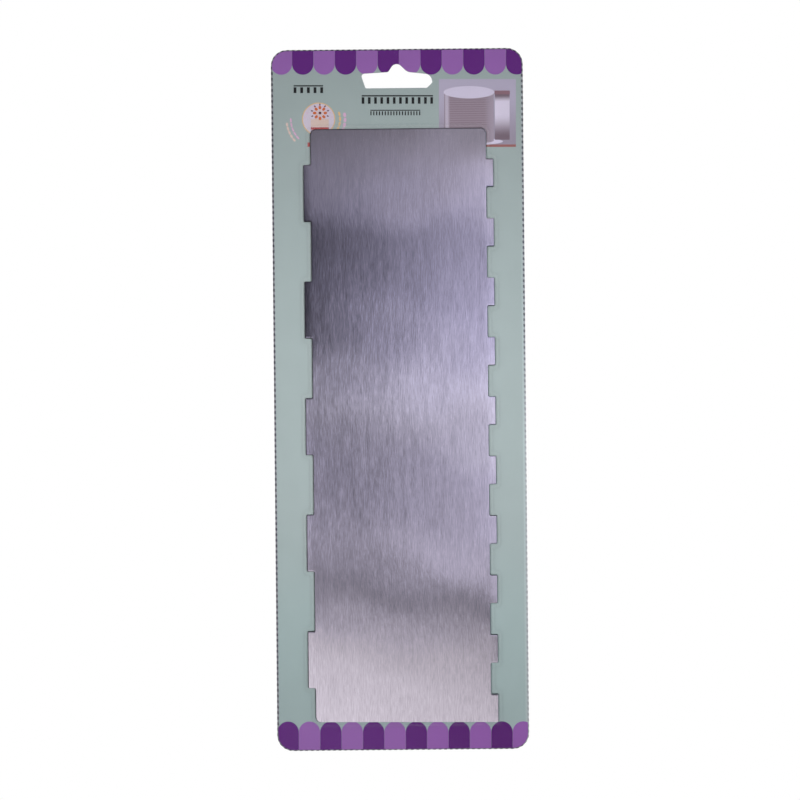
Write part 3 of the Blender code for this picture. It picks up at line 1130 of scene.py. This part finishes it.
class COMB_OT_brushed_steel(bpy.types.Operator):
    """Makes the comb with its lengthwise brushed face and its deburred edge, which is darkened with painted
    shade
    """

    bl_idname = "cake_comb.brushed_steel"
    bl_label = "Brushed Steel"

    # How finely the brushing lines lie across, through and along the sheet
    fine_lines = (2500.0, 1.0, 230.0)
    broad_lines = (420.0, 1.0, 55.0)
    wander = 1.6 * MM

    # Heights and places across between which the brushing grows faint, deep or fine
    faint_head = (COMB_HIGH.z - 0.038, COMB_HIGH.z - 0.009)
    fine_foot = (COMB_LOW.z + 0.055, COMB_LOW.z + 0.02)
    deep_middle = (COMB_LOW.z + 0.087, COMB_HIGH.z - 0.068, 0.03)
    deep_left = (0.03, -0.02)

    # How much the broad lines weigh above the foot and at it, how deep the brushing is below the head and at
    # it, and how much of the deep middle there is at the right and at the left
    broad_weight = (0.6, 0.3)
    head_depth = (1.0, 0.4)
    left_depth = (0.2, 1.0)

    # Places across and heights between which the deburred edge's painted light and shade change, and how
    # squarely a side faces the comb's middle as its painted shade darkens
    edge_light_sides = (-0.02, 0.02)
    edge_shade_halves = (COMB_MIDDLE + 0.01, COMB_MIDDLE - 0.01)
    shade_facing = (0.1, 0.5)

    def execute(self, context):
        steel = context.scene.comb_steel
        face = self.slanted_foot(front_loops("cake_comb")[0], steel.foot_slant)
        silhouette = set_in(face, max(x for x, z in face) - COMB_HIGH.x)
        edge = self.leaned(set_in(silhouette, steel.edge_width), steel.lean)
        middle = self.leaned(set_in(silhouette, steel.edge_width + steel.roll_width), steel.lean)
        front, back = COMB_LOW.y, COMB_HIGH.y
        brushed, deburred = 0, 1
        rings = (
            (middle, front, brushed),
            (edge, front + steel.roll_fall, brushed),
            (silhouette, front + steel.edge_fall, deburred),
            (silhouette, back - steel.edge_fall, deburred),
            (set_in(silhouette, steel.edge_width), back, deburred),
        )
        comb = ringed_solid("brushed_comb", rings, [self.brushed(steel), self.deburred(steel)])
        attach(comb, "comb")
        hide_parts("cake_comb")
        return {"FINISHED"}

    def slanted_foot(self, loop, slant):
        """The loop with its foot cut askew, which is where the film leaves it room."""
        right, reach = COMB_HIGH.x, COMB_LOW.z + 4 * MM
        return [(x, z + (right - x) * slant if z < reach else z) for x, z in loop]

    def leaned(self, loop, lean):
        """The loop with its teeth's inner sides moved out, which widens the band of painted shade along them.
        """
        return [(x, z + (z - COMB_MIDDLE) * lean) for x, z in loop]

    def brushed(self, steel):
        """Steel with lines along the comb: they vary in tone, in gloss and a little in height."""
        material, desk, shader = new_finish("brushed_steel_sheet")
        place = desk.place()
        drift = desk.times(desk.noise(place, scale=25.0, detail=1.0, roughness=0.6), self.wander)
        place = desk.vector("ADD", place, desk.combined(X=drift))
        fine_place = desk.vector("MULTIPLY", place, self.fine_lines)
        fine = desk.noise(fine_place, scale=1.0, detail=3.0, roughness=0.6)
        broad_place = desk.vector("MULTIPLY", place, self.broad_lines)
        broad = desk.noise(broad_place, scale=1.0, detail=2.0, roughness=0.6)
        across, up = desk.axis("X"), desk.axis("Z")
        weight = desk.from_to(desk.rise(up, *self.fine_foot), *self.broad_weight)
        both = desk.times_plus(broad, weight, fine)
        touch = desk.from_to(desk.rise(up, *self.faint_head), *self.head_depth)
        left = desk.from_to(desk.rise(across, *self.deep_left), *self.left_depth)
        deeper = desk.times(desk.window(up, *self.deep_middle), left)
        depth = desk.times(desk.plus(touch, deeper), steel.streak_depth)
        bow = desk.times(across, across, steel.bow / (COMB_LOW.x - COMB_HIGH.x))
        waves = desk.times(desk.noise(place, scale=22.0, detail=1.0, roughness=0.6), steel.waviness)
        lines = desk.times(fine, touch, steel.streak_height)
        outward = desk.minus(desk.math("ABSOLUTE", across), COMB_HIGH.x - steel.tooth_roll)
        beyond = desk.math("MAXIMUM", outward, 0.0)
        roll = desk.times(beyond, beyond, -steel.tooth_fall)
        height = desk.plus(desk.plus(bow, waves), desk.plus(lines, roll))
        look = {
            "Base Color": desk.toned(steel.base, desk.times_plus(both, depth, 1.0)),
            "Roughness": desk.times_plus(fine, 0.08, steel.roughness),
            "Normal": desk.relief(height),
            "Tangent": desk.out("ShaderNodeTangent", direction_type="RADIAL", axis="Z"),
            "Metallic": 1.0,
            "Anisotropic": 0.8,
        }
        desk.feed(shader, look)
        return material

    def deburred(self, steel):
        """The sheared edge, with painted light and shade: darker at the left than at the right, and darkest,
        as painted shade, on the sides of the teeth that face the comb's middle.
        """
        material, desk, shader = new_finish("deburred_edge")
        right = desk.rise(desk.axis("X"), *self.edge_light_sides)
        outer = desk.blend(right, steel.left_edge_shade, steel.right_edge_lit)
        below = desk.rise(desk.axis("Z"), *self.edge_shade_halves)
        normal = desk.out("ShaderNodeNewGeometry", socket="Normal")
        upward = desk.out("ShaderNodeSeparateXYZ", {0: normal}, "Z")
        inward = desk.times(upward, desk.from_to(below, -1.0, 1.0))
        base = desk.blend(desk.rise(inward, *self.shade_facing), outer, steel.inner_edge_shade)
        nicks = desk.noise(desk.place(), scale=1800.0, detail=3.0, roughness=0.6)
        look = {
            "Base Color": desk.toned(base, desk.times_plus(nicks, 0.6, 1.0)),
            "Roughness": desk.times_plus(nicks, 0.2, 0.4),
            "Metallic": 1.0,
        }
        desk.feed(shader, look)
        return material


class COMB_OT_clear_film(bpy.types.Operator):
    """Gives the film over the card its clear, glossy finish"""

    bl_idname = "cake_comb.clear_film"
    bl_label = "Clear Film"

    # Depths between which the foot of its wall and the wall itself lie, and how soft their ends are
    foot_depths = (FRONT - 0.62 * MM, FRONT - 0.50 * MM, 0.04 * MM)
    wall_depths = (COMB_LOW.y - 0.05 * MM, COMB_LOW.y + 0.4 * MM, 0.25 * MM)

    # Heights at the card's foot, and places across it, between which the painted shade on the cut rim grows
    # faint
    faint_shade_foot = (CARD_LOW.z + 4 * MM, CARD_LOW.z + 1 * MM)
    faint_shade_right = (0.0, 0.04)

    # Share of the rim's width over which it fades, to both sides of its inner line
    rim_softness = 0.2

    def execute(self, context):
        """The film's alpha is the share of light that it reflects."""
        film = context.scene.comb_film
        material, desk, shader = new_finish("clear_skin_film")
        across, depth, up = (desk.axis(name) for name in "XYZ")
        rim = self.rim(desk, film)
        foot = desk.window(depth, *self.foot_depths)
        wall = desk.window(depth, *self.wall_depths)
        lit_lower_right = desk.times(desk.rise(across, *self.faint_shade_right), desk.rise(up, *RIM_SHADE_FADE))
        faint = desk.math("MAXIMUM", desk.rise(up, *self.faint_shade_foot), lit_lower_right)
        # Painted shade: the film's cut rim takes a grey, strong at the head and left and faint at the foot
        # and lower right
        cut = desk.from_to(faint, film.edge, film.faint_edge_shade)
        facing = desk.out("ShaderNodeLayerWeight", {"Blend": 0.5}, "Facing")
        veil = desk.times_plus(desk.math("POWER", facing, 3.0), film.grazing, film.veil)
        for part, more in ((wall, film.wall), (rim, cut), (foot, film.foot)):
            veil = desk.times_plus(part, more, veil)
        ripple = desk.noise(desk.place(), scale=60.0, detail=2.0)
        look = {
            # The rim's grey is painted shade; the foot of the wall takes the same grey as a darker line
            "Base Color": desk.blend(desk.math("MAXIMUM", rim, foot), film.tint, film.rim_shade_and_foot_grey),
            "Normal": desk.relief(ripple, distance=0.05 * MM),
            "Alpha": veil,
            "Metallic": 1.0,
            "Roughness": 0.2,
        }
        desk.feed(shader, look)
        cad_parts["skin_film"].material_slots[0].material = material
        return {"FINISHED"}

    def rim(self, desk, film):
        """1 on the film's rim, measured in from its round-cornered outline."""
        middle, half = (CARD_LOW + CARD_HIGH) / 2, (CARD_HIGH - CARD_LOW) / 2
        radius, width = film.corner_radius, film.rim_width
        out = desk.vector("ABSOLUTE", desk.vector("SUBTRACT", desk.place(), middle))
        past = desk.vector("SUBTRACT", out, (half.x - radius, 1.0, half.z - radius))
        reach = desk.vector("LENGTH", desk.vector("MAXIMUM", past, (0, 0, 0)))
        soft = self.rim_softness
        return desk.rise(reach, radius - (1 + soft) * width, radius - (1 - soft) * width)


class COMB_OT_stage(bpy.types.Operator):
    """Sets up the pale floor, soft lamps, the wall that the steel reflects, and the camera"""

    bl_idname = "cake_comb.stage"
    bl_label = "Stage"

    # The wall's width and height, how far behind the camera it stands, how much its bands slant, and how
    # much taller they are than they look on the comb
    wall_size = (1.2, 1.1)
    wall_gap = 0.03
    wall_slant = 0.073
    wall_scale = 2.03

    # Places across the wall between which the bands at its far left and its right take over
    far_left = (-0.15, -0.24)
    rightwards = (-0.16, 0.22)

    # Distances between which the floor goes from partly to wholly plain white, and how white it starts
    floor_fade = (0.1, 0.7)
    floor_white = 0.8
    lamp_cone = math.radians(27)

    # Brightness up the wall, and its tint, at heights in millimetres as they look on the comb
    left_bands = (
        (-144, 0.75), (-120, 0.67), (-110, 0.54), (-100, 0.54), (-87, 0.35), (-79, 0.17), (-69, 0.36),
        (-56, 0.30), (-34, 0.25), (-2, 0.30), (20, 0.11), (67, 0.055), (73, 0.15), (84, 0.22),
        (111, 0.15), (136, 0.05),
    )
    left_rim_bands = (
        (-147, 0.82), (-105, 0.55), (-90, 0.34), (-82, 0.31), (-73, 0.47), (-37, 0.33), (-5, 0.36),
        (11, 0.05), (65, 0.01), (71, 0.07), (89, 0.13), (108, 0.15), (133, 0.05),
    )
    right_bands = (
        (-136, 0.59), (-112, 0.51), (-97, 0.34), (-88, 0.13), (-83, 0.12), (-76, 0.52), (-28, 0.58),
        (6, 0.80), (44, 0.62), (75, 0.44), (80, 0.56), (98, 0.60), (119, 0.33), (144, 0.05),
    )
    wall_tints = (
        (-140, (1.00, 0.94, 1.01)), (-106, (1.00, 0.94, 1.02)), (-88, (0.97, 0.92, 1.09)),
        (-32, (0.95, 0.91, 1.16)), (-6, (0.96, 0.93, 1.12)), (40, (0.93, 0.90, 1.22)),
        (71, (0.93, 0.90, 1.22)), (115, (0.98, 0.92, 1.08)),
    )

    # Soft patches: where each is across and up the wall in metres, how soft its sides and ends are, and how
    # much it darkens the wall, or lightens it where that is negative
    wall_patches = (
        ((-0.070, -0.020), (-0.165, -0.035), (0.05, 0.03), 0.20),
        ((0.065, 0.090), (-0.115, -0.015), (0.05, 0.03), 0.16),
        ((0.030, 0.080), (0.090, 0.140), (0.05, 0.03), 0.13),
        ((-0.030, 0.050), (0.195, 0.245), (0.05, 0.03), 0.18),
        ((-0.030, 0.000), (0.005, 0.050), (0.05, 0.03), -0.24),
        ((0.015, 0.060), (-0.140, -0.110), (0.05, 0.03), -0.20),
        ((-0.020, 0.025), (-0.164, -0.151), (0.03, 0.01), 0.24),
        ((-0.012, 0.016), (-0.138, -0.126), (0.02, 0.01), -0.20),
        ((-0.010, 0.055), (-0.198, -0.180), (0.03, 0.015), -0.14),
    )

    def execute(self, context):
        self.settings = context.scene.comb_stage
        self.centre = Vector((0, FRONT, (CARD_LOW.z + CARD_HIGH.z) / 2))
        self.camera(context)
        self.world(context)
        self.floor()
        self.lamps()
        self.reflected_wall()
        context.scene.view_settings.view_transform = "Standard"
        return {"FINISHED"}

    def camera(self, context):
        data = bpy.data.cameras.new("camera")
        data.lens = self.settings.lens
        data.sensor_width = 36
        data.clip_start = 0.01
        camera = place_object("camera", data)
        camera.location = self.centre + Vector((0, -self.settings.distance, self.settings.aim))
        camera.rotation_euler = (math.pi / 2, self.settings.roll, 0)
        context.scene.camera = camera

    def world(self, context):
        """White to the camera and in gloss, and a plain grey sky on everything else."""
        world = bpy.data.worlds.new("studio")
        desk = empty_desk(world)
        white, sky = (
            desk.out("ShaderNodeBackground", {"Color": (1, 1, 1, 1), "Strength": strength})
            for strength in (1.0, self.settings.ambient)
        )
        either = desk.out("ShaderNodeMixShader", {0: desk.seen(), 1: sky, 2: white})
        desk.add("ShaderNodeOutputWorld", {"Surface": either})
        context.scene.world = world

    def floor(self):
        """A pale floor that keeps the soft shadow near the object and is plain white further out."""
        material = bpy.data.materials.new("pale_floor")
        desk = empty_desk(material)
        matt = desk.out("ShaderNodeBsdfDiffuse", {"Color": (0.9, 0.9, 0.9, 1)})
        plain = desk.out("ShaderNodeEmission", {"Color": (1, 1, 1, 1), "Strength": 1.0})
        away = desk.rise(desk.vector("LENGTH", desk.place()), *self.floor_fade)
        white = desk.times(desk.seen(), desk.from_to(away, self.floor_white, 1.0))
        mixed = desk.out("ShaderNodeMixShader", {0: white, 1: matt, 2: plain})
        desk.add("ShaderNodeOutputMaterial", {"Surface": mixed})
        floor = self.plane("floor", 6.0, 6.0, material)
        floor.location = (0, 0, self.settings.floor_height)

    def plane(self, name, across, along, material):
        shape = bmesh.new()
        bmesh.ops.create_grid(shape, x_segments=1, y_segments=1, size=0.5)
        bmesh.ops.scale(shape, vec=(across, along, 1), verts=shape.verts)
        thing = place_object(name, finished_mesh(name, shape, [material]))
        return thing

    def lamps(self):
        """Soft lamps for the plain surfaces: two beside the camera, one behind the card."""
        lamps = (
            ("key_lamp", (0.32, -0.92, 0.06), 0.16, self.settings.key_power),
            ("fill_lamp", (-0.36, -0.92, 0.00), 0.20, self.settings.fill_power),
            ("back_lamp", (0.30, 0.92, 0.10), 0.20, self.settings.back_power),
        )
        for name, offset, size, strength in lamps:
            data = bpy.data.lights.new(name, "SPOT")
            data.shadow_soft_size = size
            data.spot_size = self.lamp_cone
            data.spot_blend = 1.0
            data.energy = strength
            lamp = place_object(name, data)
            lamp.location = self.centre + Vector(offset)
            lamp.rotation_euler = (-Vector(offset)).to_track_quat("-Z", "Y").to_euler()
            lamp.visible_glossy = False
            lamp.visible_camera = False

    def reflected_wall(self):
        """A wall behind the camera, seen only in gloss. Its left and right halves have bands of their own."""
        material = bpy.data.materials.new("soft_wall")
        desk = empty_desk(material)
        across = desk.axis("X")
        slanted = desk.times_plus(across, self.wall_slant, desk.axis("Y"))
        up = desk.plus(desk.over(slanted, self.wall_size[1]), 0.5)
        ramps = (self.left_bands, self.left_rim_bands, self.right_bands, self.wall_tints)
        left, left_rim, right, tint = (self.ramp(desk, up, stops) for stops in ramps)
        level = desk.blend(desk.rise(across, *self.far_left), left, left_rim)
        level = desk.blend(desk.rise(across, *self.rightwards), level, right)
        for sides, ends, (side_soft, end_soft), depth in self.wall_patches:
            beside = desk.window(across, *sides, side_soft)
            patch = desk.times(beside, desk.window(slanted, *ends, end_soft))
            level = desk.scaled(level, desk.times_plus(patch, -depth, 1.0))
        glow = desk.blend(1.0, level, tint, blend_type="MULTIPLY")
        lit = desk.out("ShaderNodeEmission", {"Color": glow, "Strength": self.settings.wall_power})
        desk.add("ShaderNodeOutputMaterial", {"Surface": lit})
        wall = self.plane("soft_wall", *self.wall_size, material)
        wall.location = self.centre - Vector((0, self.settings.distance + self.wall_gap, 0))
        wall.rotation_euler = (math.pi / 2, 0, 0)
        for ray in ("camera", "diffuse", "transmission", "volume_scatter", "shadow"):
            setattr(wall, "visible_" + ray, False)

    def ramp(self, desk, up, stops):
        """A ramp up the wall through stops of a height and a level or a colour."""
        node = desk.add("ShaderNodeValToRGB", {"Fac": up})
        elements = node.color_ramp.elements
        while len(elements) < len(stops):
            elements.new(0.5)
        for element, (height, level) in zip(elements, stops):
            element.position = 0.5 + self.wall_scale * height * MM / self.wall_size[1]
            element.color = opaque(level if isinstance(level, tuple) else (level, level, level))
        return node.outputs[0]


PIECES = (
    COMB_OT_backing_board,
    COMB_OT_awning_print,
    COMB_OT_tooth_profiles,
    COMB_OT_roundel,
    COMB_OT_cake_picture,
    COMB_OT_brushed_steel,
    COMB_OT_clear_film,
    COMB_OT_stage,
)
SETTINGS = {
    "comb_card": CardSettings,
    "comb_print": PrintSettings,
    "comb_steel": SteelSettings,
    "comb_film": FilmSettings,
    "comb_stage": StageSettings,
}


class COMB_PT_panel(bpy.types.Panel):
    """Lists the comb's pieces and their settings"""

    bl_label = "Cake Comb"
    bl_idname = "COMB_PT_panel"
    bl_space_type = "VIEW_3D"
    bl_region_type = "UI"
    bl_category = "Cake Comb"

    def draw(self, context):
        for piece in PIECES:
            self.layout.operator(piece.bl_idname)
        for name, group in SETTINGS.items():
            box = self.layout.box()
            box.label(text=group.__doc__)
            for label in group.__annotations__:
                box.prop(getattr(context.scene, name), label)


def register():
    for group in (*SETTINGS.values(), *PIECES, COMB_PT_panel):
        bpy.utils.register_class(group)
    for name, group in SETTINGS.items():
        setattr(bpy.types.Scene, name, PointerProperty(type=group))


def unregister():
    for name in SETTINGS:
        delattr(bpy.types.Scene, name)
    for group in (COMB_PT_panel, *reversed(PIECES), *reversed(list(SETTINGS.values()))):
        bpy.utils.unregister_class(group)


def main():
    register()
    for piece in PIECES:
        module, action = piece.bl_idname.split(".")
        getattr(getattr(bpy.ops, module), action)()


if __name__ == "__main__":
    main()
